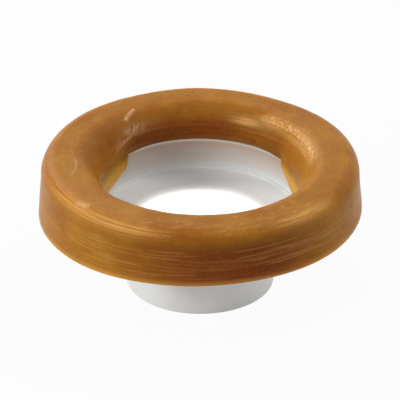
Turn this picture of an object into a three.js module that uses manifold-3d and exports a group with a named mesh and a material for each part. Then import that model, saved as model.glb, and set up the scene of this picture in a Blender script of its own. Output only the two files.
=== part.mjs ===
// Toilet pan seal: a wax ring cast round a moulded plastic horn.
// Millimetres, +Z up. The origin is the middle of the sleeve's bottom edge, where the seal stands.
import * as THREE from 'three';
import { mergeVertices } from 'three/addons/utils/BufferGeometryUtils.js';
import Module from 'manifold-3d';

// Horn: the sleeve enters the drain pipe, the funnel and cup catch the flush.
const sleeveBoreRadius = 28.8;
const sleeveWall = 1.8;
const sleeveLength = 26.7;
const funnelRise = 3.7;
const cupRadius = 40.6;
const cupDepth = 12.6;
const cupDraft = 0.4;
const hornWall = 1.5;
const throatRound = 0.8;
const cupFootRound = 3.1;
const cupStepRise = 0.5;
const cupStepWidth = 0.9;
const cupStepRound = 0.25;
const sleeveRootRound = 2.5;
const mouldEdgeRound = 0.5;

// Wax ring: flat below, a tight shoulder outside and a broad roll down to the horn inside.
const waxFootRadius = 66.5;
const waxTopRadius = 65.2;
const waxHeight = 24.9;
const waxFootRound = 0.7;
const shoulderWidth = 6.4;
const shoulderDrop = 7.5;
const rollWidth = 9.4;
const rollDrop = 12.6;
const cupFootProud = 3.6;

// The soft ring has been handled: its top leans and its front and back are pressed in a little.
const topLean = 1.6;
const pressedIn = 2.0;

// Wax that ran over the rim while it was cast, and set as two thin laps inside the cup.
const lapThickness = 0.9;
const lapReach = 10.4;
const lapTipReach = 4.4;
const lapAnchor = 1.5;
const laps = [
  { from: 137, to: 206, fullFrom: 153, fullTo: 186 },
  { from: -26, to: 35, fullFrom: -6, fullTo: 22 },
];

// Room between the wax and the plastic it was cast on.
const castingGap = 0.3;

const waxSides = 88;
const hornSides = 64;
const roundSteps = 3;
const shoulderSteps = 6;
const rollSteps = 8;
const lapSteps = 14;
const weldDistance = 1e-4;

// A rounding may use up to this share of the straight edge beside it.
const edgeShare = 0.48;

const sleeveRadius = sleeveBoreRadius + sleeveWall;
const creaseHeight = sleeveLength + funnelRise;
const rimHeight = creaseHeight + cupDepth;
const rimRadius = cupRadius + cupDraft;
const cupFoot = creaseHeight - hornWall;
const waxUnderside = cupFoot + cupFootProud;
const waxBoreTop = rimRadius + hornWall + castingGap;

// The inside of the cup wall opens a little towards the rim, so that the moulding leaves its tool.
function cupInsideAt(height) {
  return cupRadius + cupDraft * (height - creaseHeight) / cupDepth;
}

// A closed outline of radius and height, with each corner rounded by an arc.
function roundedOutline(corners) {
  const outline = [];
  corners.forEach((corner, index) => {
    const here = new THREE.Vector2(corner.r, corner.z);
    const last = corners[(index + corners.length - 1) % corners.length];
    const next = corners[(index + 1) % corners.length];
    const back = new THREE.Vector2(last.r, last.z).sub(here);
    const ahead = new THREE.Vector2(next.r, next.z).sub(here);
    const halfAngle = Math.acos(back.clone().normalize().dot(ahead.clone().normalize())) / 2;
    const wanted = corner.round / Math.tan(halfAngle);
    const cutBack = Math.min(wanted, back.length() * edgeShare, ahead.length() * edgeShare);
    const start = here.clone().add(back.setLength(cutBack));
    const end = here.clone().add(ahead.setLength(cutBack));
    const radius = cutBack * Math.tan(halfAngle);
    const inward = start.clone().add(end).multiplyScalar(0.5).sub(here);
    const centre = here.clone().add(inward.setLength(radius / Math.sin(halfAngle)));
    const firstAngle = start.clone().sub(centre).angle();
    let sweep = end.clone().sub(centre).angle() - firstAngle;
    sweep = Math.atan2(Math.sin(sweep), Math.cos(sweep));
    for (let step = 0; step <= roundSteps; step += 1) {
      const angle = firstAngle + sweep * step / roundSteps;
      const spoke = new THREE.Vector2(Math.cos(angle), Math.sin(angle)).multiplyScalar(radius);
      outline.push(spoke.add(centre));
    }
  });
  outline.push(outline[0].clone());
  return outline;
}

// A quarter of an ellipse between two angles given in degrees.
function quarterRound(centreR, centreZ, width, height, fromDegrees, toDegrees, steps) {
  const points = [];
  for (let step = 0; step <= steps; step += 1) {
    const angle = THREE.MathUtils.degToRad(fromDegrees + (toDegrees - fromDegrees) * step / steps);
    points.push(new THREE.Vector2(centreR + width * Math.cos(angle), centreZ + height * Math.sin(angle)));
  }
  return points;
}

// Turns an outline about the upright axis.
function revolve(outline, sides) {
  const geometry = new THREE.LatheGeometry(outline, sides);
  geometry.rotateX(Math.PI / 2);
  geometry.deleteAttribute('normal');
  geometry.deleteAttribute('uv');
  return mergeVertices(geometry, weldDistance);
}

// The cup's inside stands on a narrow step above the funnel, which shows as a bright line.
function hornGeometry() {
  const stepTop = creaseHeight + cupStepRise;
  const stepRadius = cupRadius - cupStepWidth;
  const funnelSlope = funnelRise / (cupRadius - sleeveBoreRadius);
  const stepFoot = creaseHeight - cupStepWidth * funnelSlope;
  const outline = roundedOutline([
    { r: sleeveRadius, z: 0, round: mouldEdgeRound },
    { r: sleeveRadius, z: sleeveLength - hornWall, round: sleeveRootRound },
    { r: cupRadius + hornWall, z: cupFoot, round: cupFootRound },
    { r: rimRadius + hornWall, z: rimHeight, round: mouldEdgeRound },
    { r: rimRadius, z: rimHeight, round: mouldEdgeRound },
    { r: cupRadius, z: stepTop, round: cupStepRound },
    { r: stepRadius, z: stepTop, round: cupStepRound },
    { r: stepRadius, z: stepFoot, round: cupStepRound },
    { r: sleeveBoreRadius, z: sleeveLength, round: throatRound },
    { r: sleeveBoreRadius, z: 0, round: mouldEdgeRound },
  ]);
  return revolve(outline, hornSides);
}

// The wax outline, with height measured from the ring's underside.
function waxOutline() {
  const boreFootRadius = cupInsideAt(waxUnderside) + hornWall + castingGap;
  return [
    new THREE.Vector2(boreFootRadius, 0),
    ...quarterRound(waxFootRadius - waxFootRound, waxFootRound,
      waxFootRound, waxFootRound, -90, 0, roundSteps),
    ...quarterRound(waxTopRadius - shoulderWidth, waxHeight - shoulderDrop,
      shoulderWidth, shoulderDrop, 0, 90, shoulderSteps),
    ...quarterRound(waxBoreTop + rollWidth, waxHeight - rollDrop, rollWidth, rollDrop, 90, 180, rollSteps),
    new THREE.Vector2(waxBoreTop, rimHeight - waxUnderside),
    new THREE.Vector2(boreFootRadius, 0),
  ];
}

// Leans the top back to front and presses the front and back in, while the bore stays round.
function pressOutOfTrue(geometry) {
  const position = geometry.getAttribute('position');
  for (let index = 0; index < position.count; index += 1) {
    const x = position.getX(index);
    const y = position.getY(index);
    const z = position.getZ(index);
    const outwards = THREE.MathUtils.smoothstep(Math.hypot(x, y), waxBoreTop, waxTopRadius);
    position.setY(index, y * (1 - outwards * pressedIn / waxFootRadius));
    position.setZ(index, z + topLean * outwards * (y / waxFootRadius) * (z / waxHeight));
  }
  return geometry;
}

// How far a lap reaches below the rim at an angle in degrees.
function lapReachAt(lap, degrees) {
  const rising = THREE.MathUtils.clamp((degrees - lap.from) / (lap.fullFrom - lap.from), 0, 1);
  const falling = THREE.MathUtils.clamp((lap.to - degrees) / (lap.to - lap.fullTo), 0, 1);
  return THREE.MathUtils.lerp(lapTipReach, lapReach, Math.min(rising, falling));
}

// The section of a lap: a root in the ring, a bridge over the rim and a sheet down the cup wall.
function lapSection(reach) {
  const low = rimHeight - reach;
  const face = cupInsideAt(low) - castingGap;
  const rimFace = rimRadius - castingGap;
  const bridge = rimHeight + castingGap;
  const root = waxBoreTop + lapAnchor;
  return [
    [root, bridge],
    [root, bridge + lapThickness + lapAnchor],
    [rimFace - lapThickness / 2, bridge + lapThickness],
    [rimFace - lapThickness, rimHeight],
    [face - lapThickness / 2, low],
    [face, low],
    [rimFace, bridge],
  ];
}

// Joins the sections along a lap into one closed solid, with height from the ring's underside.
function lapGeometry(lap) {
  const vertices = [];
  const triangles = [];
  const corners = lapSection(lapReach).length;
  for (let step = 0; step <= lapSteps; step += 1) {
    const degrees = THREE.MathUtils.lerp(lap.from, lap.to, step / lapSteps);
    const angle = THREE.MathUtils.degToRad(degrees);
    for (const [r, z] of lapSection(lapReachAt(lap, degrees))) {
      vertices.push(r * Math.cos(angle), r * Math.sin(angle), z - waxUnderside);
    }
  }
  for (let step = 0; step < lapSteps; step += 1) {
    for (let corner = 0; corner < corners; corner += 1) {
      const here = step * corners + corner;
      const beside = step * corners + (corner + 1) % corners;
      triangles.push(here, here + corners, beside, beside, here + corners, beside + corners);
    }
  }
  const lastSection = lapSteps * corners;
  const flat = lapSection(lapTipReach).map(([r, z]) => new THREE.Vector2(r, z));
  for (const [a, b, c] of THREE.ShapeUtils.triangulateShape(flat, [])) {
    triangles.push(a, b, c);
    triangles.push(lastSection + c, lastSection + b, lastSection + a);
  }
  const geometry = new THREE.BufferGeometry();
  geometry.setAttribute('position', new THREE.Float32BufferAttribute(vertices, 3));
  geometry.setIndex(triangles);
  return geometry;
}

const wasm = await Module();
wasm.setup();

function solidOf(geometry) {
  const vertProperties = new Float32Array(geometry.getAttribute('position').array);
  const triVerts = new Uint32Array(geometry.getIndex().array);
  return new wasm.Manifold(new wasm.Mesh({ numProp: 3, vertProperties, triVerts }));
}

function geometryOf(solid) {
  const mesh = solid.getMesh();
  const geometry = new THREE.BufferGeometry();
  geometry.setAttribute('position', new THREE.BufferAttribute(mesh.vertProperties, 3));
  geometry.setIndex(new THREE.BufferAttribute(mesh.triVerts, 1));
  geometry.computeVertexNormals();
  return geometry;
}

function waxGeometry() {
  let wax = solidOf(pressOutOfTrue(revolve(waxOutline(), waxSides)));
  for (const lap of laps) {
    wax = wax.add(solidOf(lapGeometry(lap)));
  }
  return geometryOf(wax);
}

const waxFinish = new THREE.MeshStandardMaterial({ color: 0xaa763c, roughness: 0.45, metalness: 0 });
const plasticFinish = new THREE.MeshStandardMaterial({ color: 0xdddddb, roughness: 0.35, metalness: 0 });

const horn = new THREE.Mesh(hornGeometry(), plasticFinish);
horn.name = 'horn_sleeve';

const wax = new THREE.Mesh(waxGeometry(), waxFinish);
wax.name = 'wax_ring';
wax.position.z = waxUnderside;

const panSeal = new THREE.Group();
panSeal.name = 'toilet_pan_seal';
panSeal.add(horn, wax);

export default panSeal;
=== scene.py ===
# %% [markdown]
# A toilet pan seal: soft wax cast round a plastic horn
#
# The seal has two pieces. A white moulded horn guides the flush into the drain pipe, and a ring of
# soft golden wax is cast round the horn's cup. The wax is squashed between the pan and the floor.
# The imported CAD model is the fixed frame: it gives the outer sizes and the place of both pieces.

# %% Load the frame
import math

import bpy
import numpy as np
from mathutils import Matrix, Vector


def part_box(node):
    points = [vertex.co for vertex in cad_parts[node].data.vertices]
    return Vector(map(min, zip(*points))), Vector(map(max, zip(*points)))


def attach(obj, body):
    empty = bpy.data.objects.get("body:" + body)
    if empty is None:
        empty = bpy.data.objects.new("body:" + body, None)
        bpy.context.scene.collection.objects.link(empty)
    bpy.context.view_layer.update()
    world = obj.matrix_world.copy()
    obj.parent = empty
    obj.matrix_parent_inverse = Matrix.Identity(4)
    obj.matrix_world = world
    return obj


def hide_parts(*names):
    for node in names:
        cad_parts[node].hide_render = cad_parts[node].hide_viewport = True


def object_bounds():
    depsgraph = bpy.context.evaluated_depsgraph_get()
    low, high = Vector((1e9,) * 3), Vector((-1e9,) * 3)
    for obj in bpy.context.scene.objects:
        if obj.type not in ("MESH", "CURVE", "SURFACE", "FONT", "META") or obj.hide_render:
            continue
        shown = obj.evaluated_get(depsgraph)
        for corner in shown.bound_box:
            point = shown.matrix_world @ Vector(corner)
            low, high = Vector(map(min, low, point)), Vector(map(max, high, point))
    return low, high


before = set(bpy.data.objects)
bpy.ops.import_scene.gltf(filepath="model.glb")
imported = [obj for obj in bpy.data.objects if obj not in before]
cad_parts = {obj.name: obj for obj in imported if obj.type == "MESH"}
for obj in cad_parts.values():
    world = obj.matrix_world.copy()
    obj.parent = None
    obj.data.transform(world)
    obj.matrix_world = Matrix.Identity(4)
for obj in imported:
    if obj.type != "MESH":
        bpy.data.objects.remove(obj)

MM = 0.001
cad_low, cad_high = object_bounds()
wax_low, wax_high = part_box("wax_ring")
horn_low, horn_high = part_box("horn_sleeve")
print("overall size, mm:", [round(v / MM, 1) for v in (cad_high - cad_low)])

# %% [markdown]
# The sizes that both pieces share
#
# The heights and the outer radii come from the frame. The rest repeats the driving sizes of the
# CAD model in millimetres: the mean shape of the ring, before anyone handled it, and the horn's
# section. One named value is used wherever two pieces meet.

# %% Sizes in millimetres
UNDERSIDE = wax_low.z / MM
FOOT_RADIUS = wax_high.x / MM
PRESSED_IN = FOOT_RADIUS - wax_high.y / MM
RIM_HEIGHT = horn_high.z / MM
WAX_HEIGHT = 24.9
TOP_RADIUS = 65.2
FOOT_ROUND = 0.7
SHOULDER_WIDTH, SHOULDER_DROP = 6.4, 7.5
ROLL_WIDTH, ROLL_DROP = 9.4, 12.6
TOP_LEAN = 1.6
HORN_WALL, SLEEVE_WALL = 1.5, 1.8
CUP_RADIUS, CUP_DEPTH, CUP_DRAFT = 40.6, 12.6, 0.4
SLEEVE_BORE, SLEEVE_LENGTH = 28.8, 26.7
CASTING_GAP = 0.3

CREASE_HEIGHT = RIM_HEIGHT - CUP_DEPTH
RIM_RADIUS = CUP_RADIUS + CUP_DRAFT
BORE_TOP = RIM_RADIUS + HORN_WALL + CASTING_GAP
TOP_HEIGHT = UNDERSIDE + WAX_HEIGHT
print(f"wax from {UNDERSIDE:.1f} to {TOP_HEIGHT:.1f} mm, horn rim at {RIM_HEIGHT:.1f} mm")

# %% [markdown]
# Camera
#
# The seal was photographed from a little above, with a long lens from some way off, so that its
# ellipses hardly converge. The lens and distance are worked out from the ring's width in the
# 400-pixel frame. The camera is set first, because every later choice is judged through it.

# %% Place the camera
FRAME_PIXELS = 400
FOCAL_PIXELS = 3404.0
SENSOR = 36.0
DISTANCE = 1.4
ELEVATION = math.radians(28.6)
ROLL = math.radians(0.29)
AIM_ABOVE_UNDERSIDE = 4.0

camera_data = bpy.data.cameras.new("view_camera")
camera_data.sensor_width = SENSOR
camera_data.lens = FOCAL_PIXELS / FRAME_PIXELS * SENSOR
camera = bpy.data.objects.new("view_camera", camera_data)
bpy.context.scene.collection.objects.link(camera)
aim = Vector((-0.1 * MM, 0, (UNDERSIDE + AIM_ABOVE_UNDERSIDE) * MM))
backwards = Vector((0, -math.cos(ELEVATION), math.sin(ELEVATION)))
camera.location = aim + backwards * DISTANCE
turned = backwards.to_track_quat("Z", "Y").to_matrix() @ Matrix.Rotation(ROLL, 3, "Z")
camera.rotation_euler = turned.to_euler()
camera_data.clip_start, camera_data.clip_end = 0.05, 20
bpy.context.scene.camera = camera
print(f"lens {camera_data.lens:.0f} mm at {DISTANCE} m")

# %% [markdown]
# Helpers for meshes
#
# Both pieces are turned shapes, so both are grids: one direction runs round the axis, and the
# other along the section. A grid gives even faces, and the wax can then be pushed about point by
# point, which a modifier on a lathe could not do along a chosen section line.

# %% Build a closed grid mesh
def ring_mesh(name, grid):
    """A mesh from points[round, along, xyz] in millimetres, closed both ways."""
    rounds, steps = grid.shape[:2]
    index = np.arange(rounds * steps).reshape(rounds, steps)
    beside = np.roll(index, -1, axis=0)
    ahead, both = np.roll(index, -1, axis=1), np.roll(beside, -1, axis=1)
    quads = np.stack([index, beside, both, ahead], axis=-1).reshape(-1, 4)
    mesh = bpy.data.meshes.new(name)
    mesh.from_pydata((grid.reshape(-1, 3) * MM).tolist(), [], quads.tolist())
    mesh.polygons.foreach_set("use_smooth", np.ones(len(quads), dtype=bool))
    mesh.update()
    piece = bpy.data.objects.new(name, mesh)
    bpy.context.scene.collection.objects.link(piece)
    print(f"{name}: {2 * len(quads)} triangles")
    return piece


def add_attribute(piece, name, values):
    """One number a point, which the material reads by name."""
    attribute = piece.data.attributes.new(name, "FLOAT", "POINT")
    attribute.data.foreach_set("value", np.ascontiguousarray(values, dtype=np.float32).ravel())


def smooth(values, start, end):
    """0 before start, 1 after end, and a soft step between."""
    t = np.clip((values - start) / (end - start), 0, 1)
    return t * t * (3 - 2 * t)


def bump_at(values, centre, width):
    """A soft bell round a centre."""
    return np.exp(-((values - centre) / width) ** 2)


def angle_apart(angles, centre):
    """Degrees between angles and a centre, the short way round."""
    return (angles - centre + 180) % 360 - 180

# %% [markdown]
# The horn's section
#
# The real horn is injection moulded in one piece. Its section is a chain of straight walls with
# small radii where they meet, so it is drawn as corners with a rounding each. A narrow step runs
# round the foot of the cup and catches the bright line there. The rounding at the throat makes its
# dark lip.

# %% Round the corners of a section
LONGEST_CUT = 0.48       # the share of a straight stretch that one rounding may take


def rounded_outline(corners, steps):
    """Points round a closed section from (radius, height, rounding) corners."""
    points = []
    places = [np.array(c[:2], dtype=float) for c in corners]
    for number, (place, corner) in enumerate(zip(places, corners)):
        back = places[number - 1] - place
        ahead = places[(number + 1) % len(places)] - place
        back_unit, ahead_unit = back / np.linalg.norm(back), ahead / np.linalg.norm(ahead)
        half = math.acos(np.clip(back_unit @ ahead_unit, -1, 1)) / 2
        room = LONGEST_CUT * min(np.linalg.norm(back), np.linalg.norm(ahead))
        cut = min(corner[2] / math.tan(half), room)
        radius = cut * math.tan(half)
        middle = (back_unit + ahead_unit) / np.linalg.norm(back_unit + ahead_unit)
        centre = place + middle * radius / math.sin(half)
        first = place + back_unit * cut - centre
        last = place + ahead_unit * cut - centre
        start = math.atan2(first[1], first[0])
        sweep = math.atan2(last[1], last[0]) - start
        sweep = math.atan2(math.sin(sweep), math.cos(sweep))
        for step in range(steps + 1):
            angle = start + sweep * step / steps
            points.append(centre + radius * np.array([math.cos(angle), math.sin(angle)]))
    return np.array(points)


def resample(points, spacing):
    """Adds points along the straight stretches of a closed section, at most spacing apart."""
    filled = []
    for here, there in zip(points, np.roll(points, -1, axis=0)):
        parts = max(1, int(np.linalg.norm(there - here) / spacing))
        filled += [here + (there - here) * part / parts for part in range(parts)]
    return np.array(filled)

# %% Build the horn
HORN_ROUNDS = 360
SLEEVE_RADIUS = SLEEVE_BORE + SLEEVE_WALL
CUP_FOOT = CREASE_HEIGHT - HORN_WALL
EDGE_ROUND, THROAT_ROUND, CUP_FOOT_ROUND, ROOT_ROUND = 0.5, 0.8, 3.1, 2.5
STEP_RISE, STEP_WIDTH, STEP_ROUND = 0.5, 0.9, 0.25
STEP_TOP = CREASE_HEIGHT + STEP_RISE
STEP_RADIUS = CUP_RADIUS - STEP_WIDTH
FUNNEL_RISE, FUNNEL_WIDTH = CREASE_HEIGHT - SLEEVE_LENGTH, CUP_RADIUS - SLEEVE_BORE
STEP_FOOT = CREASE_HEIGHT - STEP_WIDTH * FUNNEL_RISE / FUNNEL_WIDTH

horn_section = resample(rounded_outline([
    (SLEEVE_RADIUS, 0, EDGE_ROUND),
    (SLEEVE_RADIUS, SLEEVE_LENGTH - HORN_WALL, ROOT_ROUND),
    (CUP_RADIUS + HORN_WALL, CUP_FOOT, CUP_FOOT_ROUND),
    (RIM_RADIUS + HORN_WALL, RIM_HEIGHT, EDGE_ROUND),
    (RIM_RADIUS, RIM_HEIGHT, EDGE_ROUND),
    (CUP_RADIUS, STEP_TOP, STEP_ROUND),
    (STEP_RADIUS, STEP_TOP, STEP_ROUND),
    (STEP_RADIUS, STEP_FOOT, STEP_ROUND),
    (SLEEVE_BORE, SLEEVE_LENGTH, THROAT_ROUND),
    (SLEEVE_BORE, 0, EDGE_ROUND),
], steps=6), spacing=1.2)

turn = np.radians(np.arange(HORN_ROUNDS) * 360 / HORN_ROUNDS)
horn_grid = np.stack([
    horn_section[None, :, 0] * np.cos(turn)[:, None],
    horn_section[None, :, 0] * np.sin(turn)[:, None],
    np.repeat(horn_section[None, :, 1], HORN_ROUNDS, axis=0),
], axis=-1)
horn = ring_mesh("horn", horn_grid)
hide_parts("horn_sleeve")
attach(horn, "root")

# %% [markdown]
# The wax ring's free surface
#
# The wax was poured into a mould: a steep outer wall, a tight shoulder, a narrow flat top and a
# broad roll down to the bore. Distances along this line, in millimetres from the foot's outer
# corner, say where every later mark on the wax lies: the wall ends at about 17, the shoulder at
# 28, the top at 35 and the roll at 52.

# %% Draw the mean section of the wax
def quarter(centre_r, centre_z, width, height, first, last, count):
    """Points along part of an ellipse, between two angles in degrees."""
    angles = np.radians(np.linspace(first, last, count))
    return np.stack([centre_r + width * np.cos(angles), centre_z + height * np.sin(angles)], axis=1)


def walk(points, count):
    """The same line with evenly spaced points, and its length."""
    lengths = np.concatenate([[0], np.cumsum(np.linalg.norm(np.diff(points, axis=0), axis=1))])
    stations = np.linspace(0, lengths[-1], count)
    evenly = [np.interp(stations, lengths, points[:, axis]) for axis in (0, 1)]
    return np.stack(evenly, axis=1), stations


FREE_POINTS = 190
FOOT_STEPS, SHOULDER_STEPS, ROLL_STEPS = 9, 60, 80
foot = quarter(FOOT_RADIUS - FOOT_ROUND, FOOT_ROUND, FOOT_ROUND, FOOT_ROUND, -90, 0, FOOT_STEPS)
shoulder = quarter(TOP_RADIUS - SHOULDER_WIDTH, WAX_HEIGHT - SHOULDER_DROP,
                   SHOULDER_WIDTH, SHOULDER_DROP, 0, 90, SHOULDER_STEPS)
roll = quarter(BORE_TOP + ROLL_WIDTH, WAX_HEIGHT - ROLL_DROP,
               ROLL_WIDTH, ROLL_DROP, 90, 180, ROLL_STEPS)
free_line, stations = walk(np.concatenate([foot, shoulder, roll]), FREE_POINTS)
FOOT_ARC_EXCESS = FOOT_ROUND * (math.pi / 2 - 1)
along_free = stations - FOOT_ARC_EXCESS
free_line[:, 1] += UNDERSIDE
print(f"{FREE_POINTS} points along {stations[-1]:.1f} mm of free wax surface")

# %% [markdown]
# Where the wax meets the horn
#
# Between the laps the wax ends on the plastic rim: it covers the rim's outer edge, and nearly all
# of the rim beside a lap. On the left and right it ran over the rim while it was hot and set as a
# thin lap down the inside of the cup. All of it is one idea: the wax ends at some distance along
# the horn's own surface, and that distance changes round the ring. Angles are in degrees from the
# photo's right, anticlockwise seen from above, so the camera's side is 270.

# %% Follow the horn's rim
CONTACT_GAP = 0.06
WAX_ROUNDS = 384
BASE_DEPTH = 2.2
PATH_POINTS = 400
azimuth = np.arange(WAX_ROUNDS) * 360 / WAX_ROUNDS
wax_turn = np.radians(azimuth)

edge = EDGE_ROUND + CONTACT_GAP
outside = RIM_RADIUS + HORN_WALL
path_start = (outside + CONTACT_GAP, RIM_HEIGHT - BASE_DEPTH)
path, path_stations = walk(np.concatenate([
    [path_start],
    quarter(outside - EDGE_ROUND, RIM_HEIGHT - EDGE_ROUND, edge, edge, 0, 90, 12),
    quarter(RIM_RADIUS + EDGE_ROUND, RIM_HEIGHT - EDGE_ROUND, edge, edge, 90, 180, 12),
    [(CUP_RADIUS - CONTACT_GAP, STEP_TOP + STEP_ROUND)],
]), PATH_POINTS)
path_tangent = np.gradient(path, axis=0)
path_tangent /= np.linalg.norm(path_tangent, axis=1)[:, None]
path_outward = np.stack([path_tangent[:, 1], -path_tangent[:, 0]], axis=1)
INSIDE_START = BASE_DEPTH - EDGE_ROUND + math.pi * edge + HORN_WALL - 2 * EDGE_ROUND


def on_path(stations_wanted, values):
    """Looks a pair of path values up at any array of distances along the horn's surface."""
    looked_up = [np.interp(stations_wanted, path_stations, values[:, axis]) for axis in (0, 1)]
    return np.stack(looked_up, axis=-1)


print(f"{path_stations[-1]:.1f} mm of horn surface, inside wall from {INSIDE_START:.1f} mm on")

# %% Say how far the wax reaches at each angle
END_BETWEEN_LAPS = 2.6
FURTHER_BESIDE_LAP, BESIDE_DEGREES = 1.0, 24
LAPS = (       # from and to in degrees, reach at the tips in mm, degrees to deepen and to lift
    {"from": 137, "to": 205, "tip": 5.5, "deepens": 16, "lifts": 20},
    {"from": -26, "to": 35.5, "tip": 3.0, "deepens": 20, "lifts": 13},
)
LAP_FULL_REACH = 10.6
LAP_END_DEGREES = 2.0
FILL_OUTSIDE_DEGREES, FILL_INSIDE_DEGREES = 9, 8
END_WAVES = ((0.25, 23, 0), (0.15, 41, 1))      # size in mm, waves round the ring, phase

contact = np.full(WAX_ROUNDS, END_BETWEEN_LAPS)
lap_share = np.zeros(WAX_ROUNDS)
for lap in LAPS:
    middle = (lap["from"] + lap["to"]) / 2
    half = (lap["to"] - lap["from"]) / 2
    away = angle_apart(azimuth, middle)
    inside = half - np.abs(away)
    present = smooth(inside, 0, LAP_END_DEGREES)
    full = np.minimum((away + half) / lap["deepens"], (half - away) / lap["lifts"])
    reach = lap["tip"] + (LAP_FULL_REACH - lap["tip"]) * np.clip(full, 0, 1)
    reach += sum(size * np.sin(wax_turn * waves + phase) for size, waves, phase in END_WAVES)
    end = INSIDE_START - EDGE_ROUND + reach
    further = FURTHER_BESIDE_LAP * smooth(inside, -BESIDE_DEGREES, 0)
    contact = np.maximum(contact, END_BETWEEN_LAPS + further)
    contact = contact + present * (end - contact)
    lap_share = np.maximum(lap_share, smooth(inside, -FILL_OUTSIDE_DEGREES, FILL_INSIDE_DEGREES))
print(f"the wax ends {contact.min():.1f} to {contact.max():.1f} mm along the horn's surface")

# %% [markdown]
# One section for every angle
#
# The section runs up the wall, over the top, down the roll, along the face of the lap to the
# point where the wax ends, and back under the wax along the horn. The lap's face is the horn's own
# line pushed out by a thickness that grows from a feather edge, as cooled wax does. Above a lap the
# roll is fuller, so that it runs into the lap with no step.

# %% Put the sections together
LAP_THICKNESS = 0.95
FEATHER = 2.6
LAP_POINTS, TURN_POINTS, UNDER_POINTS = 20, 10, 16
CUP_WALL_POINTS, FLAT_POINTS = 6, 12
ROLL_FILL, FILL_ZONE = 2.3, (40, 55)
LAP_LEAN, BEND_PULL = 0.25, 0.4

free = np.repeat(free_line[None], WAX_ROUNDS, axis=0)
fill = ROLL_FILL * lap_share[:, None] * smooth(along_free, *FILL_ZONE)[None]
free[:, :, 0] -= fill / smooth(along_free[-1], *FILL_ZONE)
roll_end = free[:, -1]

share = np.linspace(1, 0, LAP_POINTS)[None]
inside_length = np.maximum(contact - INSIDE_START, 0)[:, None]
lap_station = contact[:, None] - share * inside_length
grown = LAP_THICKNESS * (1 - np.exp(-(contact[:, None] - lap_station) / FEATHER))
lap_face = on_path(lap_station, path) + on_path(lap_station, path_outward) * grown[..., None]
lap_face += LAP_LEAN * share[..., None] ** 2 * (roll_end - lap_face[:, 0])[:, None] * [1, 0]

bend = np.linspace(0, 1, TURN_POINTS + 2)[1:-1][None, :, None]
start, stop = roll_end[:, None], lap_face[:, :1]
pull = np.array([0, BEND_PULL]) * np.abs(start - stop)[..., 1:]
turning = ((1 - bend) ** 3 * start + 3 * (1 - bend) ** 2 * bend * (start - pull)
           + 3 * (1 - bend) * bend ** 2 * (stop + pull) + bend ** 3 * stop)

under_station = contact[:, None] * np.linspace(1, 0, UNDER_POINTS + 1)[None, 1:]
under = on_path(under_station, path)
inner_corner = (CUP_RADIUS + HORN_WALL + CASTING_GAP, UNDERSIDE)
outer_corner = (FOOT_RADIUS - FOOT_ROUND, UNDERSIDE)
hidden = np.concatenate([
    np.linspace(path_start, inner_corner, CUP_WALL_POINTS)[1:],
    np.linspace(inner_corner, outer_corner, FLAT_POINTS)[1:-1],
])
hidden = np.repeat(hidden[None], WAX_ROUNDS, axis=0)
section = np.concatenate([free, turning, lap_face, under, hidden], axis=1)
lap_first = FREE_POINTS + TURN_POINTS
print("points in each section:", section.shape[1])

# %% [markdown]
# Turn the sections and press them out of true
#
# A soft ring is never quite round or level. Its front and back are pressed in and its top leans.
# Those two are written as the CAD model writes them, so the dressed ring lies in the same place as
# the solid. The foot hangs a little lower on the left and is flared at two places in front, and
# the top dips at two places at the back: soft accidents, which only the dressed ring has.

# %% Make the three-dimensional grid
FOOT_TILT = 0.026                                 # mm up for each mm to the right
FOOT_FLARES = ((228, 20, 0.5), (315, 20, 0.6))    # degrees, width in degrees, mm
TOP_DIPS = ((62, 20, 0.75), (116, 16, 0.5))
around = azimuth[:, None]


def bell(centre, width):
    """A soft bell round one angle of the ring, in degrees."""
    return bump_at(angle_apart(around, centre), 0, width)


def arc(centre, half, fade):
    """1 within half an arc of one angle of the ring, with soft ends, in degrees."""
    return smooth(half - np.abs(angle_apart(around, centre)), 0, fade)


radius, height = section[..., 0], section[..., 1]
outwards = smooth(radius, BORE_TOP, TOP_RADIUS)
lifted = (height - UNDERSIDE) / WAX_HEIGHT
for degrees, width, flare in FOOT_FLARES:
    radius = radius + flare * bell(degrees, width) * outwards * (1 - lifted)
for degrees, width, dip in TOP_DIPS:
    height = height - dip * bell(degrees, width) * outwards * lifted
x = radius * np.cos(wax_turn)[:, None]
y = radius * np.sin(wax_turn)[:, None]
height = height + TOP_LEAN * outwards * y / FOOT_RADIUS * lifted
height = height + FOOT_TILT * x * outwards * (1 - lifted)
y = y * (1 - outwards * PRESSED_IN / FOOT_RADIUS)
wax_grid = np.stack([x, y, height], axis=-1)

round_step = np.roll(wax_grid, -1, axis=0) - np.roll(wax_grid, 1, axis=0)
along_step = np.roll(wax_grid, -1, axis=1) - np.roll(wax_grid, 1, axis=1)
normals = np.cross(round_step, along_step)
normals /= np.linalg.norm(normals, axis=-1)[..., None] + 1e-12
print("normal on the outer wall points out:", bool((normals[0, 30] * wax_grid[0, 30]).sum() > 0))

# %% [markdown]
# Marks of casting and handling
#
# The wax has slow lumps all over, scrape lines round the wall, a ledge and cracks at the back of
# the roll, a thread of wax, a crescent scratch, pocks in front and a scar across the top. Each mark
# is a small height field over angle and distance along the section, so it is real geometry that
# every view shows. The front shoulder is squarer in the photo, so it is filled out the same way.

# %% Helpers for marks
COUNT = section.shape[1]
BEYOND_ROLL = 60.0       # the distance along that stands for the laps and the hidden faces
MEAN_RADIUS = 50.0       # turns an angle round the ring into millimetres
LINE_PARTS = 14
along = np.full(COUNT, BEYOND_ROLL)
along[:FREE_POINTS] = along_free
along[FREE_POINTS:lap_first] = along_free[-1] + np.linspace(0.2, 2, TURN_POINTS)
along_row = along[None]
rng = np.random.default_rng(11)


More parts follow.
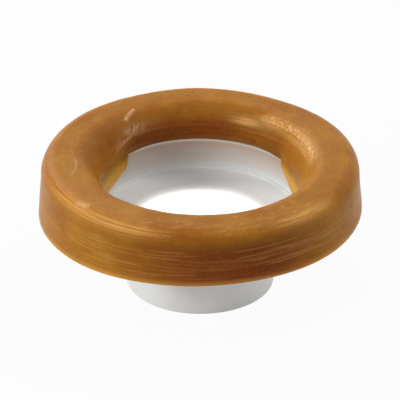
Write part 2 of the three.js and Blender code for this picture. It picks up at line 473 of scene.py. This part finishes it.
def slow_lumps(count, largest_round, longest, strength):
    """A seamless sum of waves round the ring and along its section."""
    total = np.zeros((WAX_ROUNDS, COUNT))
    for _ in range(count):
        waves = rng.integers(1, largest_round)
        length = rng.uniform(longest / 4, longest)
        phase_round, phase_along = rng.uniform(0, 2 * math.pi, 2)
        size = strength * rng.uniform(0.4, 1) / math.sqrt(1 + waves / 4)
        total += size * np.cos(waves * wax_turn[:, None] + phase_round) * np.cos(
            2 * math.pi * along_row / length + phase_along)
    return total


def line_mark(points, width):
    """A soft line through (degrees, distance along) points, one where the line runs."""
    points = np.array(points, dtype=float)
    best = np.zeros((WAX_ROUNDS, COUNT))
    for here, there in zip(points[:-1], points[1:]):
        for part in range(LINE_PARTS + 1):
            spot = here + (there - here) * part / LINE_PARTS
            sideways = np.radians(angle_apart(around, spot[0])) * MEAN_RADIUS
            away = np.hypot(sideways, along_row - spot[1])
            best = np.maximum(best, np.exp(-(away / width) ** 2))
    return best

# %% Shape the wax surface
on_wall = smooth(along_row, 1, 3) * (1 - smooth(along_row, 16, 19))
on_top = smooth(along_row, 22, 27) * (1 - smooth(along_row, 44, 50))
relief = slow_lumps(14, 6, 60, 0.045) + slow_lumps(24, 26, 30, 0.030)
relief += slow_lumps(90, 130, 9, 0.022) * on_top
FULLER_SHOULDER = 0.9
relief += FULLER_SHOULDER * arc(272, 62, 26) * bump_at(along_row, 22.0, 3.5)
pale_wear_and_glints = np.zeros_like(relief)
scraped = np.zeros_like(relief)
print(f"lumps and shoulder: {relief.min():.2f} to {relief.max():.2f} mm")

# %% [markdown]
# The back of the roll
#
# At the back the roll ends in a small ledge above the horn, under a fine lip, and four thin cracks
# run in arcs at its right. A texture could draw them, but the ledge throws a real shadow, so they
# are cut into the surface.

# %% Cut the ledge and the cracks
LEDGE_DROP, LIP_RISE, LIP_GROOVE = 0.45, 0.16, 0.14
back = arc(96, 70, 24)
relief -= LEDGE_DROP * back * smooth(along_row, 49.0, 49.8)
relief += LIP_RISE * back * bump_at(along_row, 48.4 + 0.3 * np.sin(wax_turn * 3)[:, None], 0.45)
relief -= LIP_GROOVE * back * bump_at(along_row, 47.3, 0.4)

DEEPEST_CRACK, CRACK_WIDTH = 0.32, 0.45
CRACK_LINE = np.array([(74, 48.2), (62, 46.9), (48, 46.5), (36, 46.9)])
CRACKS = ((0, 0, DEEPEST_CRACK), (4, 0.9, 0.18), (-3, -1.0, 0.14), (2, -2.1, 0.10))
cracks = np.zeros_like(relief)
for degrees, distance, depth in CRACKS:
    crack = line_mark(CRACK_LINE + (degrees, distance), CRACK_WIDTH)
    relief -= depth * crack
    cracks = np.maximum(cracks, crack * depth / DEEPEST_CRACK)
print(len(CRACKS), "cracks, the deepest", DEEPEST_CRACK, "mm")

# %% [markdown]
# Single marks and pocks
#
# A thread of wax hangs on the roll at the left, a crescent scratch, a scar and a pressed facet lie
# on the top, and a few bumps sit at the back left. Each is a line through places read from the
# photo. The thread, the facet and the bumps carry a painted highlight, and the crescent, the scar
# and the pocks a pale wear. The pocks in front are drawn at random with a fixed seed: no one of
# them matters.

# %% Add single marks and pocks
thread = line_mark([(147, 50.2), (143, 49.3), (139, 48.6), (133, 47.8), (129, 46.2)], 0.5)
crescent = line_mark([(199, 31.5), (197, 33.5), (193, 35.6), (188, 36.6), (184, 36.0)], 0.55)
scar = line_mark([(222, 25.4), (223.5, 28), (225, 31), (226.5, 35)], 0.5)
facet = line_mark([(219, 24.4), (223, 25.2)], 1.3)
glints = np.zeros_like(relief)
for degrees, distance in ((126.5, 38.4), (128.6, 39.1), (130.8, 40.2), (124.8, 37.6)):
    glint = line_mark([(degrees, distance), (degrees + 1.1, distance + 0.7)], 0.75)
    glints = np.maximum(glints, glint)

THREAD_RISE, CRESCENT_RISE, SCAR_DEPTH, FACET_RISE, GLINT_RISE = 0.4, 0.18, 0.25, 0.3, 0.5
relief += THREAD_RISE * thread + CRESCENT_RISE * crescent - SCAR_DEPTH * scar
relief += FACET_RISE * facet
relief += GLINT_RISE * glints

POCKS, POCK_RUBBED = 90, 0.28
for _ in range(POCKS):
    centre = (rng.uniform(246, 318), rng.uniform(22.5, 36))
    end = (centre[0] + rng.uniform(0.3, 1.6), centre[1])
    spot = line_mark([centre, end], rng.uniform(0.35, 0.7))
    relief += rng.choice([-0.24, 0.18]) * spot
    pale_wear_and_glints = np.maximum(pale_wear_and_glints, POCK_RUBBED * spot)
print(POCKS, "pocks")

# %% [markdown]
# Ridge, smear and scrapes
#
# The right of the roll has a speckled ridge, the back left a pale smear where the wax was dragged,
# and the outer wall many fine scrapes from handling. The ridge and the smear are soft bells. The
# scrapes are random grooves within four zones, because only their density and slant show.

# %% Add the ridge, the smear and the scrapes
RIDGE_RISE, SMEAR_RISE, FAINT_SMEAR = 0.42, 0.12, 0.5
ridge_line = 41.4 + 0.5 * np.sin(wax_turn * 5 + 1)[:, None]
ridge = arc(28, 32, 14) * bump_at(along_row, ridge_line, 1.9)
relief += RIDGE_RISE * ridge

smeared = bell(129, 8) * bump_at(along_row, 45.8, 2.6)
smeared = np.maximum(smeared, FAINT_SMEAR * bell(141, 6) * bump_at(along_row, 48.5, 2.2))
relief += SMEAR_RISE * smeared * slow_lumps(60, 150, 4, 0.5)

FAINT_DEPTH, FAINT_SHARE = 0.06, 0.4
SCRAPES = (               # first and last degree, lowest and highest mm along, lines, depth in mm
    (222, 262, 3, 17, 26, 0.09),
    (290, 330, 2, 16, 26, 0.10),
    (256, 300, 2, 12, 16, 0.05),
    (330, 560, 2, 16, 44, 0.04),
)
for first, last, low, high, lines, depth in SCRAPES:
    for _ in range(lines):
        centre = rng.uniform(first, last)
        reach = rng.uniform(5, 15)
        level = rng.uniform(low, high) + rng.uniform(-0.05, 0.05) * angle_apart(around, centre)
        width = rng.uniform(0.18, 0.32)
        groove = arc(centre, reach, 4) * bump_at(along_row, level, width) * on_wall
        strength = rng.uniform(0.3, 1.4)
        relief -= depth * strength * groove
        pale = FAINT_SHARE if depth < FAINT_DEPTH else 1
        scraped = np.maximum(scraped, groove * min(strength, 1) * pale)

# The pale on the thread, the facet and the glints is a painted highlight. On the crescent, the scar
# and the pocks it is wear.
pale_wear_and_glints += 0.7 * thread + 0.5 * crescent + 0.9 * facet + 0.35 * scar + 1.5 * glints
NOTCH_DEPTH = 1.1
relief -= NOTCH_DEPTH * bell(58, 1.6) * smooth(along_row, 51.5, 53)
print(sum(zone[4] for zone in SCRAPES), "scrapes")

# %% Push the surface out by its relief
shows = np.zeros(COUNT)
shows[:FREE_POINTS] = smooth(np.arange(FREE_POINTS), 4, 14)
shows[FREE_POINTS:lap_first] = np.linspace(1, 0, TURN_POINTS)
wax_grid = wax_grid + normals * (relief * shows[None])[..., None]
wax_grid = np.clip(wax_grid, np.array(cad_low) / MM, np.array(cad_high) / MM)
print(f"relief from {relief.min():.2f} to {relief.max():.2f} mm")

# %% [markdown]
# Where each colour and painted light lies
#
# The material can't know where a lap or a scrape is, so the mesh carries a number a point for each:
# film and feather for the thin laps, a red brown that is painted shade on the front wall, inside
# the roll and in the cracks, a paler gold that is partly wear and partly painted highlight on the
# shoulder and the roll, and one for each kind of mark. The faces that nobody sees carry none of
# them.

# %% Make the wax mesh and what its material reads
FEATHER_EDGE, FAR_FROM_EDGE = 1.6, 9.0
LARGEST_VALUE = 80
on_laps = slice(lap_first, lap_first + LAP_POINTS)
film = np.zeros((WAX_ROUNDS, COUNT))
film[:, on_laps] = 1 - smooth(share, 0.5, 1.05)
film *= lap_share[:, None]
edge_distance = np.full((WAX_ROUNDS, COUNT), FAR_FROM_EDGE)
edge_distance[:, on_laps] = contact[:, None] - lap_station
feather = lap_share[:, None] * (1 - smooth(edge_distance, 0, FEATHER_EDGE))

# Painted shade: a red brown where the front wall, the inside of the roll and its two sides lie in
# shade, and darker in the cracks.
front_wall = arc(282, 48, 40) * (1 - smooth(along_row, 14, 23))
under_roll = 0.9 * arc(104, 56, 32) * smooth(along_row, 41, 49)
left_roll = 0.5 * arc(162, 32, 20) * bump_at(along_row, 46, 6)
right_roll = 0.6 * arc(62, 44, 26) * smooth(along_row, 45.5, 50)
painted_shade = np.maximum.reduce([front_wall, under_roll, left_roll, right_roll, cracks])
painted_shade[:, on_laps.stop:] = 0

# Partly wear and partly painted highlight: a paler gold on the shoulder at the left and the right.
# The spot and the band on the roll are painted highlights.
wear_and_highlight_left = arc(228, 36, 20) * bump_at(along_row, 22.8, 2.4)
wear_and_highlight_right = 0.9 * arc(312, 20, 14) * bump_at(along_row, 24.0, 2.2)
painted_highlight_spot = 1.5 * bell(64, 8) * bump_at(along_row, 44.8, 1.9)
painted_highlight_roll = arc(30, 34, 16) * bump_at(along_row, 42.0, 2.8)
gold_wear_and_highlight = np.maximum.reduce([wear_and_highlight_left, wear_and_highlight_right, painted_highlight_spot, painted_highlight_roll])

wax = ring_mesh("wax", wax_grid[:, ::-1])
for name, values in (("along", np.repeat(along_row, WAX_ROUNDS, axis=0)), ("pale_wear_and_glints", pale_wear_and_glints),
                     ("smeared", smeared), ("ridge", ridge), ("painted_shade", painted_shade), ("gold_wear_and_highlight", gold_wear_and_highlight),
                     ("scraped", scraped), ("film", film), ("feather", feather)):
    add_attribute(wax, name, np.clip(values, 0, LARGEST_VALUE)[:, ::-1])
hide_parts("wax_ring")
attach(wax, "root")

# %% [markdown]
# Helpers for materials
#
# Every finish is built from nodes alone. A few small helpers keep each material readable: one
# adds a node and sets its sockets, one blends two colours by a mask, and one lays a whole list of
# pigments over each other, as marks really lie on a skin.

# %% Node helpers
def srgb(red, green, blue):
    """A colour in screen values from 0 to 255, as the linear colour that shaders take."""
    screen = np.array([red, green, blue]) / 255
    linear = np.where(screen <= 0.04045, screen / 12.92, ((screen + 0.055) / 1.055) ** 2.4)
    return (*linear.tolist(), 1.0)


class Finish:
    """A material with its Principled shader, and short ways to add nodes to it."""

    def __init__(self, name):
        self.material = bpy.data.materials.new(name)
        self.material.use_nodes = True
        self.tree = self.material.node_tree
        self.shader = self.tree.nodes["Principled BSDF"]
        self.object_place = self.add("ShaderNodeTexCoord").outputs["Object"]

    def add(self, kind, settings=None, **sockets):
        node = self.tree.nodes.new(kind)
        for key, value in (settings or {}).items():
            setattr(node, key, value)
        for key, value in sockets.items():
            self.set(node.inputs[key.replace("_", " ")], value)
        return node

    def set(self, socket, value):
        if isinstance(value, bpy.types.NodeSocket):
            self.tree.links.new(value, socket)
        else:
            socket.default_value = value

    def shade(self, **sockets):
        """Sets or wires sockets of the Principled shader."""
        for key, value in sockets.items():
            self.set(self.shader.inputs[key.replace("_", " ")], value)

    def math(self, operation, first, second=0.0, clamp=False):
        node = self.tree.nodes.new("ShaderNodeMath")
        node.operation, node.use_clamp = operation, clamp
        self.set(node.inputs[0], first)
        self.set(node.inputs[1], second)
        return node.outputs[0]

    def scaled(self, value, factor, offset):
        """A value times a factor, plus an offset."""
        result = self.math("MULTIPLY_ADD", value, factor)
        result.node.inputs[2].default_value = offset
        return result

    def noise(self, place, scale, detail, roughness):
        node = self.add("ShaderNodeTexNoise", Vector=place, Scale=scale, Detail=detail,
                        Roughness=roughness)
        return node.outputs["Fac"]

    def stretch(self, place, factors):
        node = self.add("ShaderNodeVectorMath", {"operation": "MULTIPLY"})
        self.set(node.inputs[0], place)
        node.inputs[1].default_value = factors
        return node.outputs[0]

    def ramp(self, value, low, high):
        """0 below low and 1 above high."""
        node = self.add("ShaderNodeMapRange", {"clamp": True}, Value=value)
        node.inputs["From Min"].default_value = low
        node.inputs["From Max"].default_value = high
        return node.outputs["Result"]

    def mix(self, mask, first, second):
        node = self.tree.nodes.new("ShaderNodeMix")
        node.data_type = "RGBA"
        self.set(node.inputs["Factor"], mask)
        self.set(node.inputs[6], first)
        self.set(node.inputs[7], second)
        return node.outputs[2]

    def layered(self, colour, layers):
        """Lays pigments over a colour, from the bottom up, each by a mask and its strength."""
        for mask, strength, pigment in layers:
            colour = self.mix(self.math("MULTIPLY", mask, strength), colour, pigment)
        return colour

    def attribute(self, name):
        node = self.add("ShaderNodeAttribute", {"attribute_name": name})
        return node.outputs["Fac"]

    def bump(self, height, strength, distance, under=None):
        node = self.add("ShaderNodeBump", Height=height, Strength=strength, Distance=distance)
        if under is not None:
            self.set(node.inputs["Normal"], under)
        return node.outputs["Normal"]

# %% [markdown]
# The wax finish
#
# Petroleum wax is a deep amber that light enters and leaves again, which subsurface scattering
# gives. A golden band along the foot is a painted glow. Over a slow mottle come fine grain, brush
# lines that follow the section, and the colours that the mesh points to: a red brown that is
# painted shade, a paler gold that is partly wear and partly painted highlight, pale rubbed smears
# drawn out along one slant, pale painted highlights on the ridge and on a few small marks, and the
# yellow of the thin laps over white plastic. The skin is dull and greasy. A low index of refraction
# gives that, where a real one puts a bluish veil on the amber.

# %% Build the wax finish
wax_finish = Finish("soft_wax")
w = wax_finish
BRUSH_ROUND, BRUSH_ALONG = 26.0, 3.0          # brush lines to the metre round, to the mm along
along_value = w.attribute("along")
radial = w.add("ShaderNodeSeparateXYZ", Vector=w.object_place).outputs
line_place = w.add("ShaderNodeCombineXYZ",
                   X=w.math("MULTIPLY", radial["X"], BRUSH_ROUND),
                   Y=w.math("MULTIPLY", radial["Y"], BRUSH_ROUND),
                   Z=w.math("MULTIPLY", along_value, BRUSH_ALONG)).outputs["Vector"]
mottle = w.noise(w.object_place, 38.0, 5.0, 0.6)
cloud = w.noise(w.object_place, 120.0, 4.0, 0.55)
grain = w.noise(w.object_place, 900.0, 3.0, 0.6)
brush = w.noise(line_place, 1.0, 6.0, 0.7)

SLANT_COS, SLANT_SIN = 0.79, 0.62
STREAKS_ACROSS, STREAKS_LENGTHWISE = 0.75, 0.3
around_mm = w.math("MULTIPLY", w.math("ARCTAN2", radial["Y"], radial["X"]), MEAN_RADIUS)


def slanted(operation, round_share, along_share):
    """A distance across or along the smear's strokes, in millimetres."""
    return w.math(operation, w.math("MULTIPLY", around_mm, round_share),
                  w.math("MULTIPLY", along_value, along_share))


across = slanted("SUBTRACT", SLANT_COS, SLANT_SIN)
lengthwise = slanted("ADD", SLANT_SIN, SLANT_COS)
smear_place = w.add("ShaderNodeCombineXYZ", X=w.math("MULTIPLY", across, STREAKS_ACROSS),
                    Y=w.math("MULTIPLY", lengthwise, STREAKS_LENGTHWISE)).outputs["Vector"]
streaks = w.ramp(w.noise(smear_place, 1.0, 5.0, 0.7), 0.38, 0.62)

# %% Lay the wax's colours, painted shade and painted highlights, and set its skin
AMBER_DEEP, AMBER, GOLD = srgb(144, 89, 19), srgb(158, 107, 27), srgb(196, 144, 54)
SHADE_RED_BROWN, LINE_DARK, GOLD_WEAR_AND_HIGHLIGHT = srgb(120, 53, 14), srgb(110, 55, 17), srgb(218, 172, 96)
PALE_SMEAR_AND_HIGHLIGHT, SCRATCH, FOOT_GLOW_GOLD = srgb(216, 178, 132), srgb(206, 150, 84), srgb(218, 172, 84)
FILM_YELLOW, FEATHER_PALE = srgb(204, 150, 48), srgb(226, 204, 150)


def patchy(name, pattern):
    """An attribute, broken up by a pattern."""
    return w.math("MULTIPLY", w.attribute(name), pattern, clamp=True)


smear_mask = patchy("smeared", streaks)
# Painted glow: a golden band along the foot of the wall.
painted_foot_glow = w.math("SUBTRACT", 1.0, w.ramp(along_value, 0.2, 3.0))
amber = w.mix(w.ramp(mottle, 0.35, 0.68), AMBER_DEEP, AMBER)
colour = w.layered(amber, (
    (w.ramp(cloud, 0.5, 0.75), 0.25, GOLD),
    # painted shade
    (w.attribute("painted_shade"), 0.88, SHADE_RED_BROWN),
    (w.ramp(brush, 0.5, 0.72), 0.45, LINE_DARK),
    (w.ramp(grain, 0.52, 0.72), 0.16, GOLD),
    # partly wear, partly painted highlight
    (patchy("gold_wear_and_highlight", w.ramp(brush, 0.62, 0.42)), 0.7, GOLD_WEAR_AND_HIGHLIGHT),
    # pale wear, and painted highlights on the thread, the facet and the glints
    (patchy("pale_wear_and_glints", w.ramp(grain, 0.3, 0.6)), 0.6, PALE_SMEAR_AND_HIGHLIGHT),
    (smear_mask, 0.65, PALE_SMEAR_AND_HIGHLIGHT),
    # painted highlight: pale speckles along the ridge
    (patchy("ridge", w.ramp(grain, 0.5, 0.62)), 0.7, PALE_SMEAR_AND_HIGHLIGHT),
    (w.attribute("scraped"), 0.4, SCRATCH),
    # painted glow along the foot
    (painted_foot_glow, 0.5, FOOT_GLOW_GOLD),
    (w.attribute("film"), 0.85, FILM_YELLOW),
    (w.attribute("feather"), 0.6, FEATHER_PALE),
))

rough = w.scaled(w.ramp(cloud, 0.3, 0.7), 0.10, 0.26)
polished = w.math("SUBTRACT", rough, w.math("MULTIPLY", w.attribute("ridge"), 0.08), clamp=True)
lines = w.bump(brush, 0.3, 0.4 * MM)
skin = w.bump(grain, 0.5, 0.4 * MM, lines)
dragged = w.bump(smear_mask, 0.6, 0.3 * MM, skin)
solid = w.math("SUBTRACT", 1.0, w.attribute("film"))
w.shade(Base_Color=colour, Roughness=polished, IOR=1.16,
        Normal=w.bump(cloud, 0.4, 1.0 * MM, dragged),
        Subsurface_Weight=w.math("MULTIPLY", solid, 0.8, clamp=True),
        Subsurface_Radius=(1.0, 0.3, 0.1), Subsurface_Scale=10 * MM)
wax.data.materials.append(wax_finish.material)
print("wax finish:", len(w.tree.nodes), "nodes")

# %% [markdown]
# The plastic finish
#
# The horn is natural white polyethylene: a soft gloss, a little light inside the wall, and fine
# rings left by the mould. The rings follow the radius and the height, so they need no unwrapping.
# The funnel and cup are a slightly greyer white than the sleeve, which is painted shade. A warm
# tint grows towards the rim and is half as strong on the rim's top: partly the wax behind the thin
# wall showing through, and partly painted shade.

# %% Build the plastic finish
plastic_finish = Finish("white_moulded_plastic")
p = plastic_finish
RINGS_TO_THE_METRE = 900.0
SCUFF_SCALES = (60.0, 60.0, 700.0)
WHITE_LOW, WHITE_HIGH, SCUFFED = srgb(222, 222, 220), srgb(232, 232, 231), srgb(206, 207, 208)
FUNNEL_SHADE_GREY, WAX_THROUGH_AND_SHADE = srgb(200, 203, 204), srgb(162, 139, 120)

place = p.add("ShaderNodeSeparateXYZ", Vector=p.object_place).outputs
flat_radius = p.math("SQRT", p.math("ADD", p.math("POWER", place["X"], 2.0),
                                    p.math("POWER", place["Y"], 2.0)))
ring_place = p.add("ShaderNodeCombineXYZ",
                   X=p.math("MULTIPLY", flat_radius, RINGS_TO_THE_METRE),
                   Y=p.math("MULTIPLY", place["Z"], RINGS_TO_THE_METRE)).outputs["Vector"]
rings = p.noise(ring_place, 1.0, 3.0, 0.6)
haze = p.noise(p.object_place, 45.0, 4.0, 0.5)
scuffs = p.noise(p.stretch(p.object_place, SCUFF_SCALES), 1.0, 4.0, 0.6)


def zone(value, first, last):
    """0 before one place and 1 after another, both in millimetres."""
    return p.ramp(value, first * MM, last * MM)


# Painted shade: the funnel and the cup are greyed.
beyond_throat = p.math("MULTIPLY", zone(flat_radius, 29.2, 31.0), zone(place["Z"], 26.2, 27.2))
# A warm tint: partly the wax behind the wall, partly painted shade.
wax_behind = p.math("MULTIPLY", zone(flat_radius, 40.0, 40.5), zone(place["Z"], 31.0, 34.0))
towards_rim = p.scaled(zone(place["Z"], 32.0, 42.5), 0.85, 0.15)
off_rim_top = p.math("MAXIMUM", zone(flat_radius, 41.20, 40.95), 0.5)
wax_tint_and_shade = p.math("MULTIPLY", p.math("MULTIPLY", wax_behind, towards_rim), off_rim_top)
white = p.layered(p.mix(p.ramp(haze, 0.35, 0.7), WHITE_LOW, WHITE_HIGH), (
    (p.ramp(scuffs, 0.55, 0.8), 0.25, SCUFFED),
    (beyond_throat, 0.7, FUNNEL_SHADE_GREY),
    (wax_tint_and_shade, 1.0, WAX_THROUGH_AND_SHADE),
))
p.shade(Base_Color=white, Roughness=p.scaled(p.ramp(scuffs, 0.3, 0.7), 0.14, 0.32), IOR=1.5,
        Normal=p.bump(haze, 0.1, 0.6 * MM, p.bump(rings, 0.06, 0.2 * MM)),
        Subsurface_Weight=0.25, Subsurface_Radius=(1.0, 0.95, 0.85), Subsurface_Scale=0.8 * MM)
horn.data.materials.append(plastic_finish.material)
print("plastic finish:", len(p.tree.nodes), "nodes")

# %% [markdown]
# Floor, backdrop and light
#
# The seal stands on a plain white floor. The camera sees the floor nearly white through its
# colour, and the seal keeps its own soft shadow. The studio is a weak white dome and six square
# lights: a strong one low on the left, a small one at the back left, two high behind, one low on
# the right and a weak, wide one nearly overhead. Nothing shines low from the camera's side, which
# leaves the near wall deep brown.

# %% Make the floor
FLOOR_SIZE = 8.0
FLOOR_WHITE_SHARE = 0.95
bpy.ops.mesh.primitive_plane_add(size=FLOOR_SIZE, location=(0, 0, 0))
floor = bpy.context.object
floor.name = "floor"


def camera_white_share(finish, share):
    """The share of plain white that camera, mirror and see-through rays see."""
    rays = finish.add("ShaderNodeLightPath").outputs
    seen = finish.math("MAXIMUM", rays["Is Camera Ray"], rays["Is Glossy Ray"])
    seen = finish.math("MAXIMUM", seen, rays["Is Transmission Ray"])
    return finish.math("MULTIPLY", seen, share)


floor_finish = Finish("pale_floor")
floor_finish.shade(Base_Color=srgb(190, 190, 190), Roughness=0.9, Specular_IOR_Level=0.0)
glow = floor_finish.add("ShaderNodeEmission", Strength=1.0, Color=(1, 1, 1, 1))
blend = floor_finish.add("ShaderNodeMixShader")
floor_finish.set(blend.inputs[0], camera_white_share(floor_finish, FLOOR_WHITE_SHARE))
floor_finish.set(blend.inputs[1], floor_finish.shader.outputs[0])
floor_finish.set(blend.inputs[2], glow.outputs[0])
output = floor_finish.tree.nodes["Material Output"]
floor_finish.set(output.inputs["Surface"], blend.outputs[0])
floor.data.materials.append(floor_finish.material)
print(f"floor: {FLOOR_SIZE} m wide, {FLOOR_WHITE_SHARE:.0%} white to the camera")

# %% Light the studio
WORLD_LEVEL = 0.17
world = bpy.data.worlds.new("studio")
bpy.context.scene.world = world
world.use_nodes = True
tree = world.node_tree
background = tree.nodes["Background"]
background.inputs["Color"].default_value = (1, 1, 1, 1)
rays = tree.nodes.new("ShaderNodeLightPath").outputs
seen = rays["Is Camera Ray"]
for kind in ("Is Glossy Ray", "Is Transmission Ray"):
    either = tree.nodes.new("ShaderNodeMath")
    either.operation = "MAXIMUM"
    tree.links.new(seen, either.inputs[0])
    tree.links.new(rays[kind], either.inputs[1])
    seen = either.outputs[0]
level = tree.nodes.new("ShaderNodeMapRange")
tree.links.new(seen, level.inputs["Value"])
level.inputs["To Min"].default_value = WORLD_LEVEL
level.inputs["To Max"].default_value = 1.0
tree.links.new(level.outputs["Result"], background.inputs["Strength"])


def panel(name, width, height, power, place, towards):
    """A rectangular area light at place, in metres, that shines along a direction."""
    data = bpy.data.lights.new(name, "AREA")
    data.shape, data.size, data.size_y, data.energy = "RECTANGLE", width, height, power
    lamp = bpy.data.objects.new(name, data)
    bpy.context.scene.collection.objects.link(lamp)
    lamp.location = place
    lamp.rotation_euler = Vector(towards).to_track_quat("-Z", "Y").to_euler()
    lamp.visible_camera = False
    return lamp


BOX_DISTANCE = 1.2


def softbox(name, size, power, azimuth_degrees, elevation_degrees):
    """A square light that faces the seal from a direction."""
    a, e = math.radians(azimuth_degrees), math.radians(elevation_degrees)
    direction = Vector((math.cos(a) * math.cos(e), math.sin(a) * math.cos(e), math.sin(e)))
    panel(name, size, size, power, aim + BOX_DISTANCE * direction, -direction)
    print(f"{name}: {power} W, {size} m wide")


BOXES = (                     # name, size in m, power in W, azimuth and elevation in degrees
    ("left_box", 0.35, 11.2, 205, 22),
    ("back_left_box", 0.22, 4.2, 128, 30),
    ("back_box", 0.35, 3.6, 106, 53),
    ("back_right_box", 0.35, 4.1, 42, 52),
    ("right_box", 0.35, 4.8, 344, 14),
    ("front_top_box", 0.45, 2.8, 255, 66),
)
for box in BOXES:
    softbox(*box)

# %% [markdown]
# Lamps in the bore
#
# The photo shows pure white through the throat. The boxes hardly light the far wall down there, so
# small panels stand in the back half of the sleeve, each close to the wall and facing it. They
# overlap, so that no single one shows, and their spread is narrow, so that they light the wall of
# the sleeve and not the cup above it.

# %% Light the bore
BORE_PANELS, BORE_POWER = 12, 0.0064
PANEL_WIDTH, PANEL_HEIGHT = 0.014, 0.016
OUT_SHARE, UP_SHARE = 0.7, 0.65        # of the bore's radius and of the sleeve's length
BORE_SPREAD = math.radians(50)

for number in range(BORE_PANELS):
    turned_by = math.radians((number + 0.5) * 180 / BORE_PANELS)
    outward = Vector((math.cos(turned_by), math.sin(turned_by), 0))
    standing = outward * OUT_SHARE * SLEEVE_BORE * MM
    standing += Vector((0, 0, UP_SHARE * SLEEVE_LENGTH * MM))
    lamp = panel(f"bore_panel_{number}", PANEL_WIDTH, PANEL_HEIGHT, BORE_POWER / BORE_PANELS,
                 standing, outward)
    lamp.data.spread = BORE_SPREAD
print(f"{BORE_PANELS} panels in the bore, {BORE_POWER * 1000:.1f} mW in all")

# %% [markdown]
# The view transform
#
# The dressed seal has to stay inside the CAD model's box. The render shows colours with the
# Standard view transform.

# %% Set the view transform
bpy.context.scene.view_settings.view_transform = "Standard"
